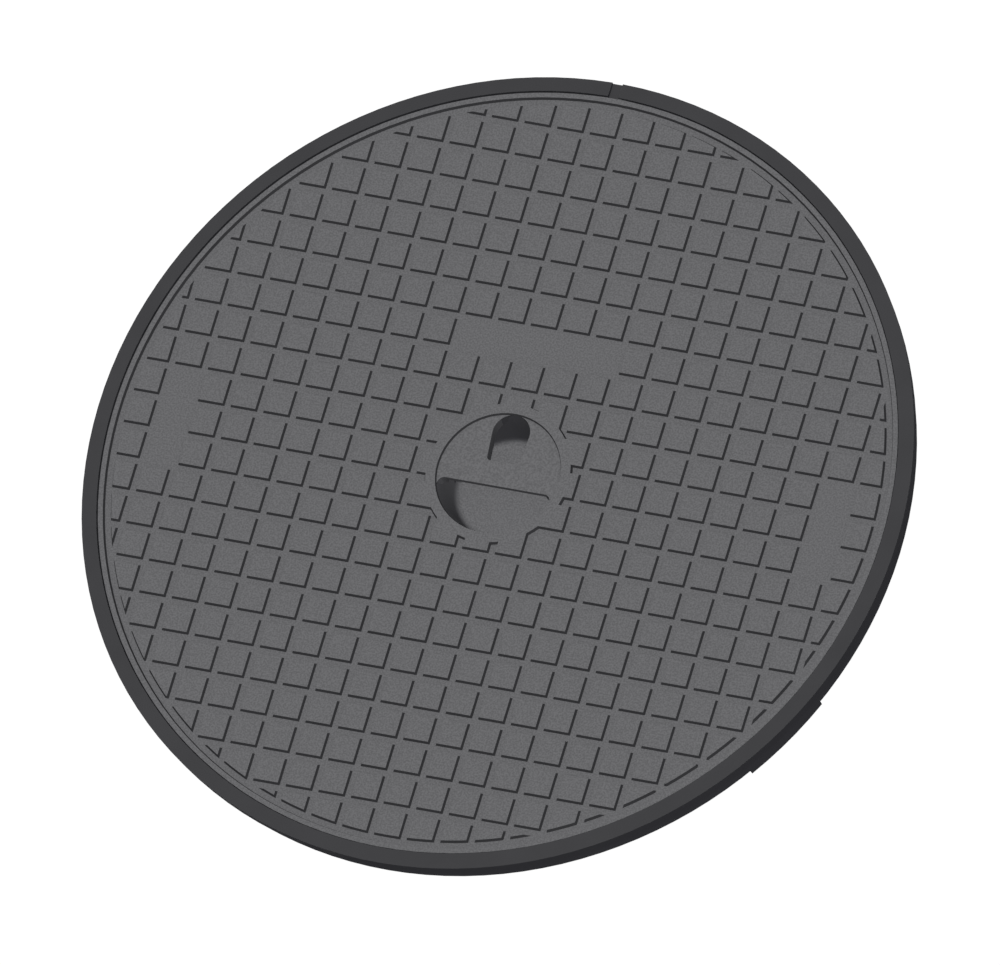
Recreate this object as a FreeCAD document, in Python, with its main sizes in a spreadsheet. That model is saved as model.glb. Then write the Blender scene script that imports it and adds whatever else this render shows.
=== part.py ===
"""A round cast iron access cover, one casting, in millimetres with +Z up.

Z is the axis of the disc and z = 0 is the foot of the lifting bowl, the lowest point of the casting.
+Y runs from the centre to the pry slot in the rim. The raised studs stand on a square lattice with a
stud at the centre.
"""
import FreeCAD, Part
import os
import Sketcher

SIZES = (
    # Rim, skirt and seating pads
    ("rim_diameter", 611.2),
    ("rim_width", 11.1),
    ("rim_rise", 1.3),
    ("rim_fall", 1.2),
    ("rim_inner_draft", 32.0),
    ("rim_height", 10.6),
    ("rim_outer_draft", 5.6),
    ("skirt_inset", 2.8),
    ("skirt_wall", 10.0),
    ("skirt_height", 12.0),
    ("pad_count", 3),
    ("pad_angle", 13.4),
    ("pad_height", 5.7),
    ("pad_inset", 0.6),
    ("pry_slot_width", 8.0),
    ("pry_slot_depth", 3.1),
    # Plate, studs and the ring round them
    ("plate_thickness", 7.0),
    ("draft_angle", 20.0),
    ("stud_pitch", 25.0),
    ("stud_width", 18.5),
    ("stud_height", 2.6),
    ("edge_ring_width", 3.6),
    ("edge_channel_width", 4.4),
    ("long_panel_studs", 5),
    ("long_panel_row", 4),
    ("side_panel_studs", 3),
    ("side_panel_column", 10),
    # Ribs under the plate
    ("rib_count", 6),
    ("rib_width", 8.0),
    ("rib_end_height", 10.0),
    ("rib_root_height", 20.0),
    ("ring_rib_radius", 170.0),
    ("ring_rib_height", 12.0),
    # Lifting recess: collar, bowl, bridge and key slot
    ("recess_diameter", 92.6),
    ("recess_depth", 2.0),
    ("collar_width", 7.1),
    ("bowl_depth", 36.0),
    ("bowl_wall", 5.0),
    ("bowl_draft", 10.0),
    ("bowl_bend", 7.0),
    ("bowl_chamfer", 5.0),
    ("bridge_width", 18.4),
    ("bridge_thickness", 9.0),
    ("bridge_lip", 4.0),
    ("mouth_corner", 5.0),
    ("key_slot_width", 28.0),
    ("key_slot_centre", 32.0),
    ("key_slot_taper", 5.0),
    ("key_slot_corner", 3.0),
    # How far a cutter runs past the surface that it opens
    ("cutter_overrun", 1.0),
)

# Heights above the foot of the bowl
TOP = "(Sizes.bowl_depth + Sizes.bowl_wall)"
PANEL = f"({TOP} - Sizes.stud_height)"
UNDERSIDE = f"({PANEL} - Sizes.plate_thickness)"
RIM_TOP = f"({TOP} + Sizes.rim_rise)"
RIM_EDGE = f"({RIM_TOP} - Sizes.rim_fall)"
RIM_FOOT = f"({RIM_EDGE} - Sizes.rim_height)"
SKIRT_FOOT = f"({RIM_FOOT} - Sizes.skirt_height)"
PAD_FOOT = f"({SKIRT_FOOT} - Sizes.pad_height)"
RECESS_FLOOR = f"({TOP} - Sizes.recess_depth)"
BEND_LEVEL = "(Sizes.bowl_wall + Sizes.bowl_bend)"
CUT_TOP = f"({TOP} + Sizes.cutter_overrun)"

# Radii of the rim, the ring inside it and the stud field, from the outside in
DRAFT = "tan(Sizes.draft_angle)"
STUD_DRAFT = f"(Sizes.stud_height * {DRAFT})"
RIM_RADIUS = "(Sizes.rim_diameter / 2)"
RIM_FOOT_RADIUS = f"({RIM_RADIUS} - Sizes.rim_height * tan(Sizes.rim_outer_draft))"
SKIRT_RADIUS = f"({RIM_FOOT_RADIUS} - Sizes.skirt_inset)"
SKIRT_INNER = f"({SKIRT_RADIUS} - Sizes.skirt_wall)"
PAD_RADIUS = f"({SKIRT_RADIUS} - Sizes.pad_inset)"
RIM_INNER = f"({RIM_RADIUS} - Sizes.rim_width)"
RING_OUTER = f"({RIM_INNER} - Sizes.rim_rise * tan(Sizes.rim_inner_draft))"
RING_INNER = f"({RING_OUTER} - Sizes.edge_ring_width)"
CHANNEL_OUTER = f"({RING_INNER} - {STUD_DRAFT})"
FIELD_FOOT = f"({CHANNEL_OUTER} - Sizes.edge_channel_width)"
FIELD_RADIUS = f"({FIELD_FOOT} - {STUD_DRAFT})"

# Channels between the studs: half widths, number and place of the first
CHANNEL_HALF = "((Sizes.stud_pitch - Sizes.stud_width) / 2)"
CHANNEL_FOOT_HALF = f"({CHANNEL_HALF} - {STUD_DRAFT})"
CHANNEL_CUT_HALF = f"({CHANNEL_HALF} + Sizes.cutter_overrun * {DRAFT})"
CHANNELS_PER_SIDE = f"floor({FIELD_RADIUS} / Sizes.stud_pitch + 0.5)"
FIRST_CHANNEL = f"((0.5 - {CHANNELS_PER_SIDE}) * Sizes.stud_pitch)"

# Bowl: wall radius at a height, and the bend between wall and floor
RECESS_RADIUS = "(Sizes.recess_diameter / 2)"
RECESS_FOOT = f"({RECESS_RADIUS} - Sizes.recess_depth * {DRAFT})"
COLLAR_RADIUS = f"({RECESS_RADIUS} + Sizes.collar_width)"
COLLAR_FOOT = f"({COLLAR_RADIUS} + {STUD_DRAFT})"
FIELD_BORE = f"({RECESS_RADIUS} + Sizes.collar_width / 2)"
BEND_COS = "cos(Sizes.bowl_draft)"
BEND_SIN = "sin(Sizes.bowl_draft)"


def bowl_radius(level):
    """Inside radius of the bowl at a height."""
    return f"({RECESS_FOOT} - ({RECESS_FLOOR} - {level}) * tan(Sizes.bowl_draft))"


def bowl_outside(level):
    """Outside radius of the bowl at a height."""
    return f"({bowl_radius(level)} + Sizes.bowl_wall / {BEND_COS})"


BOWL_FLAT = f"({bowl_radius(BEND_LEVEL)} - Sizes.bowl_bend / {BEND_COS})"

# Bridge: its half width, and where the rounded corners of the mouth touch it and the bowl
BRIDGE_HALF = "(Sizes.bridge_width / 2)"
BRIDGE_REACH = f"({RECESS_FOOT} + Sizes.bowl_wall / 2)"
MOUTH_CORNER_Y = f"(-{BRIDGE_HALF} - Sizes.mouth_corner)"
MOUTH_CORNER_X = f"sqrt(({RECESS_FOOT} - Sizes.mouth_corner)^2 - {MOUTH_CORNER_Y}^2)"
MOUTH_GROWTH = f"{RECESS_FOOT} / ({RECESS_FOOT} - Sizes.mouth_corner)"
REACH_GROWTH = f"{BRIDGE_REACH} / ({RECESS_FOOT} - Sizes.mouth_corner)"
HALF_TURN_COS = "cos(45)"

# Key slot: a round end, tapering sides and rounded foot corners
KEY_RADIUS = "(Sizes.key_slot_width / 2)"
KEY_COS = "cos(Sizes.key_slot_taper)"
KEY_SIN = "sin(Sizes.key_slot_taper)"
KEY_SIDE_X = f"({KEY_RADIUS} * {KEY_COS})"
KEY_SIDE_Y = f"(Sizes.key_slot_centre - {KEY_RADIUS} * {KEY_SIN})"
KEY_TOP_Y = f"(Sizes.key_slot_centre + {KEY_RADIUS})"
KEY_CORNER_Y = f"({BRIDGE_HALF} + Sizes.key_slot_corner)"
KEY_CORNER_X = (
    f"({KEY_SIDE_X} - ({KEY_SIDE_Y} - {KEY_CORNER_Y}) * tan(Sizes.key_slot_taper)"
    f" - Sizes.key_slot_corner / {KEY_COS})"
)

# Two points nearer than this are one
SAME_PLACE = 1e-6


def minus(expression):
    return f"-({expression})"


def make_sheet(doc):
    """Writes the driving dimensions, one named cell each."""
    sheet = doc.addObject("Spreadsheet::Sheet", "Sizes")
    for row, (name, value) in enumerate(SIZES, start=1):
        sheet.set(f"A{row}", name)
        sheet.set(f"B{row}", str(value))
        sheet.setAlias(f"B{row}", name)
    doc.recompute()


def origin_feature(body, role):
    return next(item for item in body.Origin.OriginFeatures if item.Role == role)


def arc(radius, through_x, through_y):
    """An edge that is an arc with this radius, passing near this point."""
    return radius, through_x, through_y


def place_point(sketch, edge, end, x, y, where):
    """Ties one end of an edge to the two expressions of its place."""
    for kind, expression, value, axis in (("DistanceX", x, where.x, -2), ("DistanceY", y, where.y, -1)):
        if expression == "0":
            sketch.addConstraint(Sketcher.Constraint("PointOnObject", edge, end, axis))
            continue
        number = sketch.addConstraint(Sketcher.Constraint(kind, -1, 1, edge, end, value))
        sketch.setExpression(f"Constraints[{number}]", expression)


def add_loop(sketch, corners):
    """Closes a loop through corners (x, y) or (x, y, arc), where the arc leads on to the next corner."""
    def point(x, y):
        return FreeCAD.Vector(float(sketch.evalExpression(x)), float(sketch.evalExpression(y)), 0)

    places = [point(corner[0], corner[1]) for corner in corners]
    ends = []
    for index, corner in enumerate(corners):
        start = places[index]
        stop = places[(index + 1) % len(corners)]
        if len(corner) == 2:
            edge = sketch.addGeometry(Part.LineSegment(start, stop))
            ends.append((edge, 1, 2))
            continue
        radius, through_x, through_y = corner[2]
        curve = Part.Arc(start, point(through_x, through_y), stop)
        edge = sketch.addGeometry(curve)
        forward = sketch.getPoint(edge, 1).isEqual(start, SAME_PLACE)
        ends.append((edge, 1, 2) if forward else (edge, 2, 1))
        number = sketch.addConstraint(Sketcher.Constraint("Radius", edge, sketch.Geometry[edge].Radius))
        sketch.setExpression(f"Constraints[{number}]", radius)
    for index, (edge, first, last) in enumerate(ends):
        next_edge, next_first, _ = ends[(index + 1) % len(ends)]
        sketch.addConstraint(Sketcher.Constraint("Coincident", edge, last, next_edge, next_first))
        place_point(sketch, edge, first, corners[index][0], corners[index][1], places[index])


def make_sketch(body, name, plane, loops, level=None):
    """A sketch on one of the body's origin planes, lifted to a level where one is given."""
    sketch = body.newObject("Sketcher::SketchObject", name)
    sketch.AttachmentSupport = [(origin_feature(body, plane), "")]
    sketch.MapMode = "FlatFace"
    if level is not None:
        sketch.setExpression("AttachmentOffset.Base.z", level)
    for corners in loops:
        add_loop(sketch, corners)
    body.Document.recompute()
    return sketch


def turn(body, kind, name, sketch, angle=None):
    """A revolution or groove about the axis of the disc, all round or over a middle angle."""
    feature = body.newObject(f"PartDesign::{kind}", name)
    feature.Profile = sketch
    feature.ReferenceAxis = (sketch, ["V_Axis"])
    if angle is None:
        feature.Angle = 360
    else:
        feature.Midplane = True
        feature.setExpression("Angle", angle)
    return feature


def extrude(body, kind, name, sketch, length, symmetric=False, reverse=False):
    """A pad or pocket of this length, to one side of its sketch or to both."""
    feature = body.newObject(f"PartDesign::{kind}", name)
    feature.Profile = sketch
    feature.setExpression("Length", length)
    feature.SideType = "Symmetric" if symmetric else "One side"
    feature.Reversed = reverse
    return feature


def polar_copies(body, name, feature, count):
    pattern = body.newObject("PartDesign::PolarPattern", name)
    pattern.Originals = [feature]
    pattern.Axis = (origin_feature(body, "Z_Axis"), [""])
    pattern.Angle = 360
    pattern.setExpression("Occurrences", count)
    body.Tip = pattern


def rectangle(x_low, y_low, x_high, y_high):
    return [(x_low, y_low), (x_high, y_low), (x_high, y_high), (x_low, y_high)]


def make_plate(body):
    """Plate, skirt, ring rib and a solid hub for the bowl, up to the floor between the studs."""
    half_rib = "Sizes.rib_width / 2"
    ring_foot = f"({UNDERSIDE} - Sizes.ring_rib_height)"
    section = [
        ("0", "0"),
        (f"{bowl_outside(0)} - Sizes.bowl_chamfer", "0"),
        (bowl_outside("Sizes.bowl_chamfer"), "Sizes.bowl_chamfer"),
        (bowl_outside(UNDERSIDE), UNDERSIDE),
        (f"Sizes.ring_rib_radius - {half_rib}", UNDERSIDE),
        (f"Sizes.ring_rib_radius - {half_rib}", ring_foot),
        (f"Sizes.ring_rib_radius + {half_rib}", ring_foot),
        (f"Sizes.ring_rib_radius + {half_rib}", UNDERSIDE),
        (SKIRT_INNER, UNDERSIDE),
        (SKIRT_INNER, SKIRT_FOOT),
        (SKIRT_RADIUS, SKIRT_FOOT),
        (SKIRT_RADIUS, PANEL),
        ("0", PANEL),
    ]
    turn(body, "Revolution", "plate", make_sketch(body, "plate_section", "XZ_Plane", [section]))


def make_ribs(body):
    """Radial ribs from the hub to the skirt, deepest at the hub."""
    end_foot = f"({UNDERSIDE} - Sizes.rib_end_height)"
    root_foot = f"({UNDERSIDE} - Sizes.rib_root_height)"
    side = [
        (BOWL_FLAT, UNDERSIDE),
        (BOWL_FLAT, root_foot),
        (SKIRT_INNER, end_foot),
        (SKIRT_INNER, UNDERSIDE),
    ]
    sketch = make_sketch(body, "rib_side", "YZ_Plane", [side])
    rib = extrude(body, "Pad", "rib", sketch, "Sizes.rib_width", symmetric=True)
    polar_copies(body, "ribs", rib, "Sizes.rib_count")


def make_field(body):
    """The raised field, from inside the collar to the edge channel, before it is cut into studs."""
    section = [
        (FIELD_BORE, PANEL),
        (FIELD_FOOT, PANEL),
        (FIELD_RADIUS, TOP),
        (FIELD_BORE, TOP),
    ]
    turn(body, "Revolution", "field", make_sketch(body, "field_section", "XZ_Plane", [section]))


def make_channels(body):
    """Drafted channels both ways across the field, which leave the square studs."""
    for name, plane in (("channels_y", "XZ_Plane"), ("channels_x", "YZ_Plane")):
        section = [
            (f"{FIRST_CHANNEL} - {CHANNEL_FOOT_HALF}", PANEL),
            (f"{FIRST_CHANNEL} + {CHANNEL_FOOT_HALF}", PANEL),
            (f"{FIRST_CHANNEL} + {CHANNEL_CUT_HALF}", CUT_TOP),
            (f"{FIRST_CHANNEL} - {CHANNEL_CUT_HALF}", CUT_TOP),
        ]
        sketch = make_sketch(body, f"{name}_section", plane, [section])
        channel = extrude(body, "Pocket", f"{name}_first", sketch, "Sizes.rim_diameter", symmetric=True)
        pattern = body.newObject("PartDesign::LinearPattern", name)
        pattern.Originals = [channel]
        pattern.Direction = (sketch, ["H_Axis"])
        pattern.Mode = "Spacing"
        pattern.setExpression("Offset", "Sizes.stud_pitch")
        pattern.setExpression("Occurrences", f"2 * {CHANNELS_PER_SIDE}")
        channel.Refine = False
        pattern.Refine = False
        body.Tip = pattern


def make_panels(body):
    """Three bare panels, each in the place of one row of studs."""
    half_pitch = "Sizes.stud_pitch / 2"
    long_half = "Sizes.long_panel_studs * Sizes.stud_pitch / 2"
    long_near = f"(Sizes.long_panel_row * Sizes.stud_pitch - {half_pitch})"
    long_far = f"(Sizes.long_panel_row * Sizes.stud_pitch + {half_pitch})"
    side_half = "Sizes.side_panel_studs * Sizes.stud_pitch / 2"
    side_near = f"(Sizes.side_panel_column * Sizes.stud_pitch - {half_pitch})"
    side_far = f"(Sizes.side_panel_column * Sizes.stud_pitch + {half_pitch})"
    loops = [
        rectangle(minus(long_half), long_near, long_half, long_far),
        rectangle(side_near, minus(side_half), side_far, side_half),
        rectangle(minus(side_far), minus(side_half), minus(side_near), side_half),
    ]
    sketch = make_sketch(body, "panel_plan", "XY_Plane", loops, TOP)
    panels = extrude(body, "Pocket", "panels", sketch, "Sizes.stud_height")
    panels.Refine = False


def make_rim(body):
    """The narrow ring level with the studs, and round it the rim, which falls towards its outer edge."""
    section = [
        (CHANNEL_OUTER, PANEL),
        (SKIRT_RADIUS, PANEL),
        (SKIRT_RADIUS, RIM_FOOT),
        (RIM_FOOT_RADIUS, RIM_FOOT),
        (RIM_RADIUS, RIM_EDGE),
        (RIM_INNER, RIM_TOP),
        (RING_OUTER, TOP),
        (RING_INNER, TOP),
    ]
    turn(body, "Revolution", "rim", make_sketch(body, "rim_section", "XZ_Plane", [section]))


def make_pry_slot(body):
    """A square notch through the rim, from the ring outward."""
    half = "Sizes.pry_slot_width / 2"
    plan = rectangle(minus(half), RING_OUTER, half, f"{RIM_RADIUS} + Sizes.cutter_overrun")
    sketch = make_sketch(body, "pry_slot_plan", "XY_Plane", [plan], RIM_TOP)
    extrude(body, "Pocket", "pry_slot", sketch, "Sizes.pry_slot_depth")


def make_pads(body):
    """Seating pads under the skirt, the first below the pry slot."""
    section = rectangle(SKIRT_INNER, PAD_FOOT, PAD_RADIUS, SKIRT_FOOT)
    sketch = make_sketch(body, "pad_section", "YZ_Plane", [section])
    pad = turn(body, "Revolution", "pad", sketch, "Sizes.pad_angle")
    polar_copies(body, "pads", pad, "Sizes.pad_count")


def make_bowl(body):
    """The collar round the lifting recess, then the shallow recess and the bowl below it."""
    collar = [
        ("0", PANEL),
        (COLLAR_FOOT, PANEL),
        (COLLAR_RADIUS, TOP),
        ("0", TOP),
    ]
    turn(body, "Revolution", "collar", make_sketch(body, "collar_section", "XZ_Plane", [collar]))
    bend = arc(
        "Sizes.bowl_bend",
        f"{BOWL_FLAT} + Sizes.bowl_bend * {HALF_TURN_COS}",
        f"{BEND_LEVEL} - Sizes.bowl_bend * {HALF_TURN_COS}",
    )
    hollow = [
        ("0", "Sizes.bowl_wall"),
        ("0", CUT_TOP),
        (RECESS_RADIUS, CUT_TOP),
        (RECESS_RADIUS, TOP),
        (RECESS_FOOT, RECESS_FLOOR),
        (
            f"{BOWL_FLAT} + Sizes.bowl_bend * {BEND_COS}",
            f"{BEND_LEVEL} - Sizes.bowl_bend * {BEND_SIN}",
            bend,
        ),
        (BOWL_FLAT, "Sizes.bowl_wall"),
    ]
    turn(body, "Groove", "bowl", make_sketch(body, "bowl_section", "XZ_Plane", [hollow]))


def make_bridge(body):
    """The plate across the bowl: straight lip towards -Y, key slot on the other side of the bridge."""
    corner_middle_x = f"({MOUTH_CORNER_X} + Sizes.mouth_corner * {HALF_TURN_COS})"
    corner_middle_y = f"({MOUTH_CORNER_Y} + Sizes.mouth_corner * {HALF_TURN_COS})"
    touch_x = f"({MOUTH_CORNER_X} * {MOUTH_GROWTH})"
    touch_y = f"({MOUTH_CORNER_Y} * {MOUTH_GROWTH})"
    reach_x = f"({MOUTH_CORNER_X} * {REACH_GROWTH})"
    reach_y = f"({MOUTH_CORNER_Y} * {REACH_GROWTH})"
    plate = [
        (minus(MOUTH_CORNER_X), minus(BRIDGE_HALF)),
        (MOUTH_CORNER_X, minus(BRIDGE_HALF), arc("Sizes.mouth_corner", corner_middle_x, corner_middle_y)),
        (touch_x, touch_y),
        (reach_x, reach_y, arc(BRIDGE_REACH, "0", BRIDGE_REACH)),
        (minus(reach_x), reach_y),
        (
            minus(touch_x),
            touch_y,
            arc("Sizes.mouth_corner", minus(corner_middle_x), corner_middle_y),
        ),
    ]
    corner_x = f"({KEY_CORNER_X} + Sizes.key_slot_corner * {KEY_COS})"
    corner_y = f"({KEY_CORNER_Y} - Sizes.key_slot_corner * {KEY_SIN})"
    corner_middle_x = f"({KEY_CORNER_X} + Sizes.key_slot_corner * {HALF_TURN_COS})"
    corner_middle_y = f"({KEY_CORNER_Y} - Sizes.key_slot_corner * {HALF_TURN_COS})"
    key_slot = [
        (minus(KEY_CORNER_X), BRIDGE_HALF),
        (KEY_CORNER_X, BRIDGE_HALF, arc("Sizes.key_slot_corner", corner_middle_x, corner_middle_y)),
        (corner_x, corner_y),
        (KEY_SIDE_X, KEY_SIDE_Y, arc(KEY_RADIUS, "0", KEY_TOP_Y)),
        (minus(KEY_SIDE_X), KEY_SIDE_Y),
        (
            minus(corner_x),
            corner_y,
            arc("Sizes.key_slot_corner", minus(corner_middle_x), corner_middle_y),
        ),
    ]
    sketch = make_sketch(body, "bridge_plan", "XY_Plane", [plate, key_slot], RECESS_FLOOR)
    extrude(body, "Pad", "bridge", sketch, "Sizes.bridge_thickness", reverse=True)
    lip_foot = f"({RECESS_FLOOR} - Sizes.bridge_lip)"
    bridge_foot = f"({RECESS_FLOOR} - Sizes.bridge_thickness)"
    wedge = [
        (minus(BRIDGE_HALF), bridge_foot),
        (BRIDGE_HALF, bridge_foot),
        (minus(BRIDGE_HALF), lip_foot),
    ]
    sketch = make_sketch(body, "bridge_wedge", "YZ_Plane", [wedge])
    extrude(body, "Pocket", "bridge_slope", sketch, f"2 * {MOUTH_CORNER_X}", symmetric=True)


def check(doc, parts):
    """Stops where a feature failed or a part's shape isn't one sound solid."""
    for item in doc.Objects:
        if {"Invalid", "Error"} & set(item.State):
            raise RuntimeError(f"{item.Name} failed: {item.State}")
    for part in parts:
        if part.Shape.isNull() or not part.Shape.isValid() or len(part.Shape.Solids) != 1:
            raise RuntimeError(f"{part.Label} is not one valid solid")


def main():
    doc = FreeCAD.newDocument("access_cover")
    make_sheet(doc)
    casting = doc.addObject("PartDesign::Body", "casting")
    make_plate(casting)
    make_ribs(casting)
    make_rim(casting)
    make_pry_slot(casting)
    make_pads(casting)
    make_bowl(casting)
    make_bridge(casting)
    studs = doc.addObject("PartDesign::Body", "studs")
    make_field(studs)
    make_channels(studs)
    make_panels(studs)
    cover = doc.addObject("Part::Fuse", "cover")
    cover.Base = casting
    cover.Tool = studs
    cover.Refine = True
    doc.recompute()
    check(doc, [cover])
    os.makedirs("parts", exist_ok=True)
    cover.Shape.exportStep(f"parts/{cover.Label}.step")
    print(f"{cover.Label}: {cover.Shape.Volume / 1000:.1f} cm3, box {cover.Shape.BoundBox}")


main()
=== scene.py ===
"""Looks of the round cast iron access cover: its finishes, the light and the camera.

Everything is in metres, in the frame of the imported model: +Z up, z = 0 at the foot of the lifting bowl.
"""
import math

import bpy
from mathutils import Matrix, Vector


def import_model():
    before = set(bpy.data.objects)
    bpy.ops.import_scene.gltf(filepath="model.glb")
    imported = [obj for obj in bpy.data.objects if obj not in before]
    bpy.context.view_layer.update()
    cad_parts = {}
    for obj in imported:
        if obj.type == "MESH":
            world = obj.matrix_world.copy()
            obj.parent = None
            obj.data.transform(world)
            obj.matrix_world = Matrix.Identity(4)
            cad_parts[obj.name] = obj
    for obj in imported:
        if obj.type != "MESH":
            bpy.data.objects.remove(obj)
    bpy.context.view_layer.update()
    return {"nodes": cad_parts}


MM = 0.001

# Levels and radii of the casting that bound its finishes
STUD_TOP = 41.0 * MM
CHANNEL_FLOOR = 38.4 * MM
RIM_INNER_FOOT = 293.69 * MM
RIM_INNER_EDGE = 294.5 * MM
RECESS_FLOOR = 39.0 * MM
RECESS_RADIUS = 45.6 * MM
BOWL_SLOPE = math.tan(math.radians(10.0))
BOWL_WALL = 5.0 * MM
BRIDGE_FOOT = 30.0 * MM
EDGE_TOLERANCE = 0.3 * MM

# Camera: the photograph is a parallel view, VIEW_WIDTH wide, turned and rolled
VIEW_WIDTH = 0.7096
VIEW_CENTRE = Vector((0.0025, -0.0057, 0.0379))
VIEW_RIGHT = Vector((0.92563, 0.27858, -0.25610))
VIEW_BACK = Vector((0.34145, -0.32310, 0.88264))
VIEW_DISTANCE = 3.0

# Surroundings
FLOOR_HALF = 12.0
WHITE = (1.0, 1.0, 1.0, 1.0)
FLOOR_COLOUR = (0.25, 0.25, 0.25, 1.0)
FLOOR_GLOW = 0.8

# Light on a level face from the sky and from the lamp behind the cover, out of 1 in all
SKY_LEVEL = 0.25
FILL_LEVEL = 0.05
FILL_HEIGHT = math.radians(10.0)
LAMP_ANGLE = math.radians(0.3)


def shades(dark, light, blue):
    """The darkest and the lightest colour of a finish, linear greys with this much more blue."""
    return [(grey, grey, grey * blue, 1.0) for grey in (dark, light)]


# Finishes: the darkest and lightest shade on level faces (FACE) and on walls (SIDE); walls are darker
# than level faces partly as painted shade
STUD_FACE = shades(0.1205, 0.159, 1.04)
# Field walls: a dark coat, made darker than the level faces partly as painted shade
STUD_SIDE = shades(0.041, 0.046, 1.07)
# Bridge walls: lighter than the field's walls as painted light in the recess
BRIDGE_SIDE_PAINTED_LIGHT = shades(0.082, 0.090, 1.07)
# Bowl level faces: lighter than the field's, as painted light against the shade in the recess
BOWL_FACE_PAINTED_LIGHT = shades(0.140, 0.184, 1.04)
# Bowl walls: lighter than the field's walls as painted light in the recess, the near half more than the
# far half
BOWL_NEAR_SIDE_PAINTED_LIGHT = shades(0.100, 0.110, 1.07)
BOWL_FAR_SIDE_PAINTED_LIGHT = shades(0.053, 0.059, 1.10)
RIM_FACE = shades(0.0525, 0.0575, 1.06)
# Rim and outer walls: darker than the rim's level faces as painted shade
RIM_SIDE = shades(0.0385, 0.0443, 1.13)
# The rim's inner wall: painted shade, a near-black line where the step from field to rim is shaded
RIM_GROOVE_SHADE = shades(0.015, 0.018, 1.12)

# Surface: next to no gloss, and the sizes of the grain and of the patches in the coat
MATT = 0.002
SPECKLE_SIZE = 1.2 * MM
SPECKLE_DEPTH = 0.04 * MM
SPECKLED_ROUGHNESS = (0.72, 0.82)
COAT_GRAIN_SIZE = 0.9 * MM
COAT_GRAIN_DEPTH = 0.015 * MM
COAT_ROUGHNESS = (0.55, 0.66)
PATCH_SIZE = 40.0 * MM

# Octaves of a noise on top of its first
PATCH_DETAIL = 4.0
COAT_GRAIN_DETAIL = 2.0
SPECKLE_DETAIL = 0.0

# From walls to level faces, where the walls' painted shade fades out: the upward part of the normal where
# the change starts and ends
LEVEL_START = 0.36
LEVEL_FULL = 1.0

# The range that holds nearly all of a noise's values
MIDDLE_RANGE = (0.3, 0.7)


def new_material(name):
    """A material with an empty node tree, its tree and its principled shader."""
    material = bpy.data.materials.new(name)
    material.use_nodes = True
    tree = material.node_tree
    tree.nodes.clear()
    output = tree.nodes.new("ShaderNodeOutputMaterial")
    shader = tree.nodes.new("ShaderNodeBsdfPrincipled")
    tree.links.new(shader.outputs["BSDF"], output.inputs["Surface"])
    return material, tree, shader


def noise(tree, size, detail):
    """Noise in object space whose features are about this size."""
    place = tree.nodes.new("ShaderNodeTexCoord")
    texture = tree.nodes.new("ShaderNodeTexNoise")
    texture.inputs["Scale"].default_value = 1.0 / size
    texture.inputs["Detail"].default_value = detail
    tree.links.new(place.outputs["Object"], texture.inputs["Vector"])
    return texture.outputs["Fac"]


def ramp(tree, source, colours):
    """From the first colour to the second over the source's middle range."""
    node = tree.nodes.new("ShaderNodeValToRGB")
    for stop, position, colour in zip(node.color_ramp.elements, MIDDLE_RANGE, colours):
        stop.position = position
        stop.color = colour
    tree.links.new(source, node.inputs["Fac"])
    return node.outputs["Color"]


def bump(tree, height, depth):
    """Small bumps of this depth, with their height from a noise."""
    node = tree.nodes.new("ShaderNodeBump")
    node.inputs["Distance"].default_value = depth
    tree.links.new(height, node.inputs["Height"])
    return node.outputs["Normal"]


def scaled(tree, source, span):
    """The source's middle range, spread over this span."""
    node = tree.nodes.new("ShaderNodeMapRange")
    node.inputs["From Min"].default_value = MIDDLE_RANGE[0]
    node.inputs["From Max"].default_value = MIDDLE_RANGE[1]
    node.inputs["To Min"].default_value = span[0]
    node.inputs["To Max"].default_value = span[1]
    tree.links.new(source, node.inputs["Value"])
    return node.outputs["Result"]


def paint_wall_shade(tree, wall, level):
    """One colour on the walls of the casting, another on its level faces; the walls' darker colour is
    partly painted shade.
    """
    mix = tree.nodes.new("ShaderNodeMix")
    mix.data_type = "RGBA"
    tree.links.new(levelness(tree), mix.inputs["Factor"])
    tree.links.new(wall, mix.inputs["A"])
    tree.links.new(level, mix.inputs["B"])
    return mix.outputs["Result"]


def levelness(tree):
    """0 on the walls of the casting, 1 on its level faces, between them on a bend."""
    place = tree.nodes.new("ShaderNodeTexCoord")
    parts = tree.nodes.new("ShaderNodeSeparateXYZ")
    tree.links.new(place.outputs["Normal"], parts.inputs["Vector"])
    node = tree.nodes.new("ShaderNodeMapRange")
    node.interpolation_type = "SMOOTHSTEP"
    node.inputs["From Min"].default_value = LEVEL_START
    node.inputs["From Max"].default_value = LEVEL_FULL
    tree.links.new(parts.outputs["Z"], node.inputs["Value"])
    return node.outputs["Result"]


def make_speckled_finish(name, face, side):
    """Level faces with a fine light speckle, walls with a darker coat that is partly painted shade."""
    material, tree, shader = new_material(name)
    grain = noise(tree, SPECKLE_SIZE, SPECKLE_DETAIL)
    speckle = ramp(tree, grain, face)
    patches = noise(tree, PATCH_SIZE, PATCH_DETAIL)
    coat = ramp(tree, patches, side)
    tree.links.new(paint_wall_shade(tree, coat, speckle), shader.inputs["Base Color"])
    tree.links.new(scaled(tree, patches, SPECKLED_ROUGHNESS), shader.inputs["Roughness"])
    tree.links.new(bump(tree, grain, SPECKLE_DEPTH), shader.inputs["Normal"])
    shader.inputs["Specular IOR Level"].default_value = MATT
    return material


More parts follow.
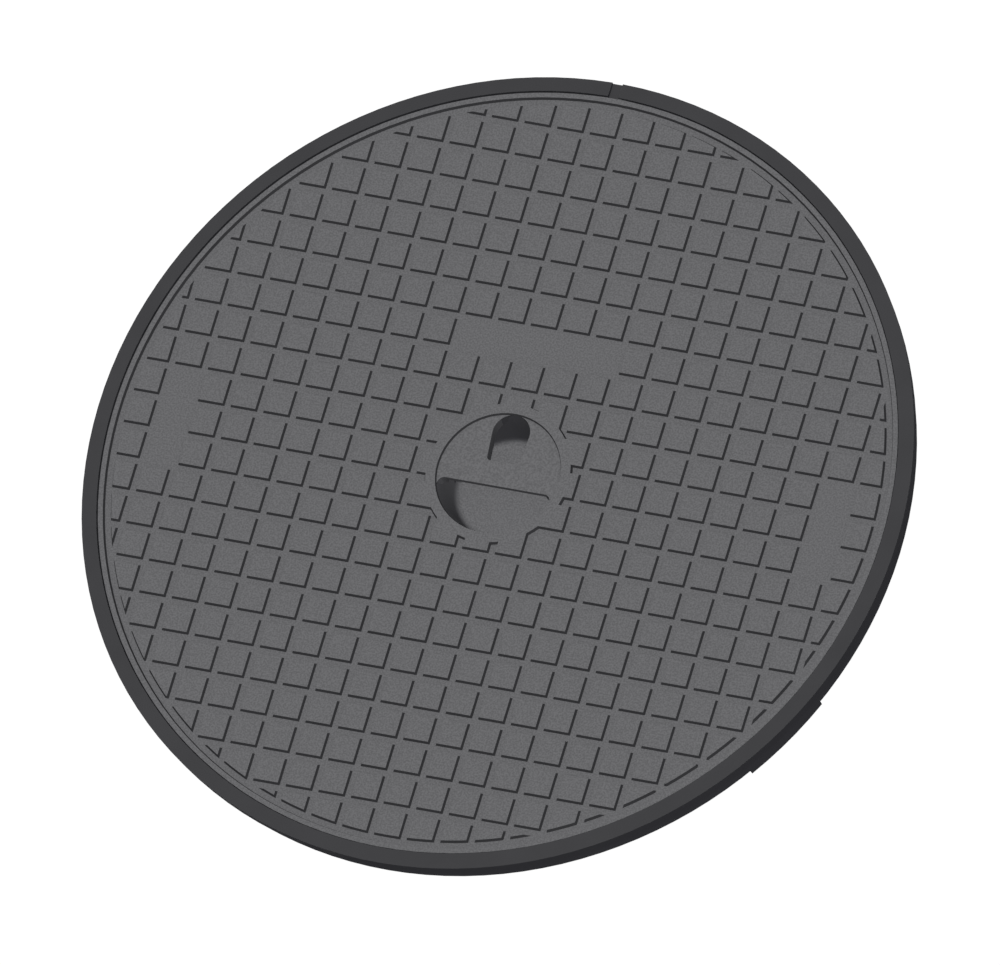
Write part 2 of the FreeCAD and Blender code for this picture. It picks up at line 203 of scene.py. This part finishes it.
def make_coat_finish(name, face, side):
    """A plain dark coat, darker on the walls as painted shade."""
    material, tree, shader = new_material(name)
    patches = noise(tree, PATCH_SIZE, PATCH_DETAIL)
    wall = ramp(tree, patches, side)
    level = ramp(tree, patches, face)
    tree.links.new(paint_wall_shade(tree, wall, level), shader.inputs["Base Color"])
    tree.links.new(scaled(tree, patches, COAT_ROUGHNESS), shader.inputs["Roughness"])
    grain = noise(tree, COAT_GRAIN_SIZE, COAT_GRAIN_DETAIL)
    tree.links.new(bump(tree, grain, COAT_GRAIN_DEPTH), shader.inputs["Normal"])
    shader.inputs["Specular IOR Level"].default_value = MATT
    return material


def is_field(centre):
    """Whether a face is inside the rim on the walked side."""
    if not CHANNEL_FLOOR - EDGE_TOLERANCE < centre.z < STUD_TOP + EDGE_TOLERANCE:
        return False
    return centre.xy.length < RIM_INNER_FOOT + EDGE_TOLERANCE


def is_recess(centre):
    """Whether a face is inside the lifting recess, below the field."""
    if not BOWL_WALL - EDGE_TOLERANCE < centre.z < CHANNEL_FLOOR - EDGE_TOLERANCE:
        return False
    return centre.xy.length < bowl_radius(centre.z) + BOWL_WALL / 2


def is_bridge(centre):
    """Whether a face of the recess is on the bridge, not on the bowl."""
    if centre.z < BRIDGE_FOOT - EDGE_TOLERANCE:
        return False
    return centre.xy.length < bowl_radius(centre.z) - BOWL_WALL / 2


def bowl_radius(level):
    """Inside radius of the bowl at this height."""
    return RECESS_RADIUS - (RECESS_FLOOR - level) * BOWL_SLOPE


def finish_of(centre):
    """The name of the finish on the face with this centre."""
    if is_field(centre):
        return "speckled_face"
    if is_recess(centre):
        if is_bridge(centre):
            # The bridge's walls carry painted light
            return "speckled_bridge_painted_light"
        # The bowl's two halves differ only in the painted light on their walls
        return "bowl_near_painted_light" if centre.y < 0 else "bowl_far_painted_light"
    # The rim's inner wall above the field gets painted shade
    if centre.z > STUD_TOP and centre.xy.length < RIM_INNER_EDGE:
        return "rim_groove_painted_shade"
    return "dark_coat"


def dress_cover(cover):
    """Each finish on its own faces of the casting."""
    finishes = [
        make_coat_finish("dark_coat", RIM_FACE, RIM_SIDE),
        make_coat_finish("rim_groove_painted_shade", RIM_GROOVE_SHADE, RIM_GROOVE_SHADE),
        make_speckled_finish("speckled_face", STUD_FACE, STUD_SIDE),
        make_speckled_finish("speckled_bridge_painted_light", STUD_FACE, BRIDGE_SIDE_PAINTED_LIGHT),
        make_speckled_finish("bowl_near_painted_light", BOWL_FACE_PAINTED_LIGHT, BOWL_NEAR_SIDE_PAINTED_LIGHT),
        make_speckled_finish("bowl_far_painted_light", BOWL_FACE_PAINTED_LIGHT, BOWL_FAR_SIDE_PAINTED_LIGHT),
    ]
    cover.data.materials.clear()
    for finish in finishes:
        cover.data.materials.append(finish)
    slots = {finish.name: number for number, finish in enumerate(finishes)}
    for polygon in cover.data.polygons:
        polygon.material_index = slots[finish_of(polygon.center)]


def make_floor():
    """A pale floor that the camera sees as white, apart from the cover's shadow."""
    mesh = bpy.data.meshes.new("floor")
    signs = [(-1, -1), (1, -1), (1, 1), (-1, 1)]
    mesh.from_pydata([(x * FLOOR_HALF, y * FLOOR_HALF, 0.0) for x, y in signs], [], [(0, 1, 2, 3)])
    floor = bpy.data.objects.new("floor", mesh)
    bpy.context.scene.collection.objects.link(floor)
    material = bpy.data.materials.new("pale_floor")
    material.use_nodes = True
    tree = material.node_tree
    tree.nodes.clear()
    output = tree.nodes.new("ShaderNodeOutputMaterial")
    diffuse = tree.nodes.new("ShaderNodeBsdfDiffuse")
    diffuse.inputs["Color"].default_value = FLOOR_COLOUR
    glow = tree.nodes.new("ShaderNodeEmission")
    glow.inputs["Color"].default_value = WHITE
    tree.links.new(seen_directly(tree, FLOOR_GLOW), glow.inputs["Strength"])
    both = tree.nodes.new("ShaderNodeAddShader")
    tree.links.new(diffuse.outputs["BSDF"], both.inputs[0])
    tree.links.new(glow.outputs["Emission"], both.inputs[1])
    tree.links.new(both.outputs["Shader"], output.inputs["Surface"])
    mesh.materials.append(material)


def seen_directly(tree, strength):
    """This strength for rays from the camera, mirrors and glass, and none for the rest."""
    path = tree.nodes.new("ShaderNodeLightPath")
    camera_or_gloss = tree.nodes.new("ShaderNodeMath")
    camera_or_gloss.operation = "MAXIMUM"
    tree.links.new(path.outputs["Is Camera Ray"], camera_or_gloss.inputs[0])
    tree.links.new(path.outputs["Is Glossy Ray"], camera_or_gloss.inputs[1])
    any_of_three = tree.nodes.new("ShaderNodeMath")
    any_of_three.operation = "MAXIMUM"
    tree.links.new(camera_or_gloss.outputs["Value"], any_of_three.inputs[0])
    tree.links.new(path.outputs["Is Transmission Ray"], any_of_three.inputs[1])
    times = tree.nodes.new("ShaderNodeMath")
    times.operation = "MULTIPLY"
    times.inputs[1].default_value = strength
    tree.links.new(any_of_three.outputs["Value"], times.inputs[0])
    return times.outputs["Value"]


def make_sky():
    """A plain sky: white to the camera, a low even light for the rest."""
    world = bpy.data.worlds.new("sky")
    bpy.context.scene.world = world
    world.use_nodes = True
    tree = world.node_tree
    tree.nodes.clear()
    output = tree.nodes.new("ShaderNodeOutputWorld")
    background = tree.nodes.new("ShaderNodeBackground")
    background.inputs["Color"].default_value = WHITE
    extra = seen_directly(tree, 1.0 - SKY_LEVEL)
    total = tree.nodes.new("ShaderNodeMath")
    total.operation = "ADD"
    total.inputs[1].default_value = SKY_LEVEL
    tree.links.new(extra, total.inputs[0])
    tree.links.new(total.outputs["Value"], background.inputs["Strength"])
    tree.links.new(background.outputs["Background"], output.inputs["Surface"])


def make_lamp(name, direction, level):
    """An even light from this direction, which lights a level face at this level."""
    data = bpy.data.lights.new(name, "SUN")
    data.angle = LAMP_ANGLE
    data.energy = math.pi * level / direction.z
    lamp = bpy.data.objects.new(name, data)
    lamp.rotation_euler = direction.to_track_quat("Z", "Y").to_euler()
    bpy.context.scene.collection.objects.link(lamp)
    return data


def make_lamps():
    """A main light along the view and a low one without shadows for the walls on the far side."""
    front = VIEW_BACK.normalized()
    rise = front.xy.length * math.tan(FILL_HEIGHT)
    behind = Vector((-front.x, -front.y, rise)).normalized()
    make_lamp("key", front, 1.0 - SKY_LEVEL - FILL_LEVEL)
    fill = make_lamp("fill", behind, FILL_LEVEL)
    fill.use_shadow = False


def make_camera():
    """The photograph's view: parallel, from above, turned and rolled."""
    data = bpy.data.cameras.new("camera")
    data.type = "ORTHO"
    data.sensor_fit = "HORIZONTAL"
    data.ortho_scale = VIEW_WIDTH
    camera = bpy.data.objects.new("camera", data)
    back = VIEW_BACK.normalized()
    right = (VIEW_RIGHT - back * VIEW_RIGHT.dot(back)).normalized()
    up = back.cross(right)
    turn = Matrix((right, up, back)).transposed().to_4x4()
    camera.matrix_world = Matrix.Translation(VIEW_CENTRE + back * VIEW_DISTANCE) @ turn
    bpy.context.scene.collection.objects.link(camera)
    bpy.context.scene.camera = camera


def main():
    """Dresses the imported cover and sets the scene."""
    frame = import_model()
    dress_cover(frame["nodes"]["cover"])
    make_floor()
    make_sky()
    make_lamps()
    make_camera()
    bpy.context.scene.view_settings.view_transform = "Standard"


main()
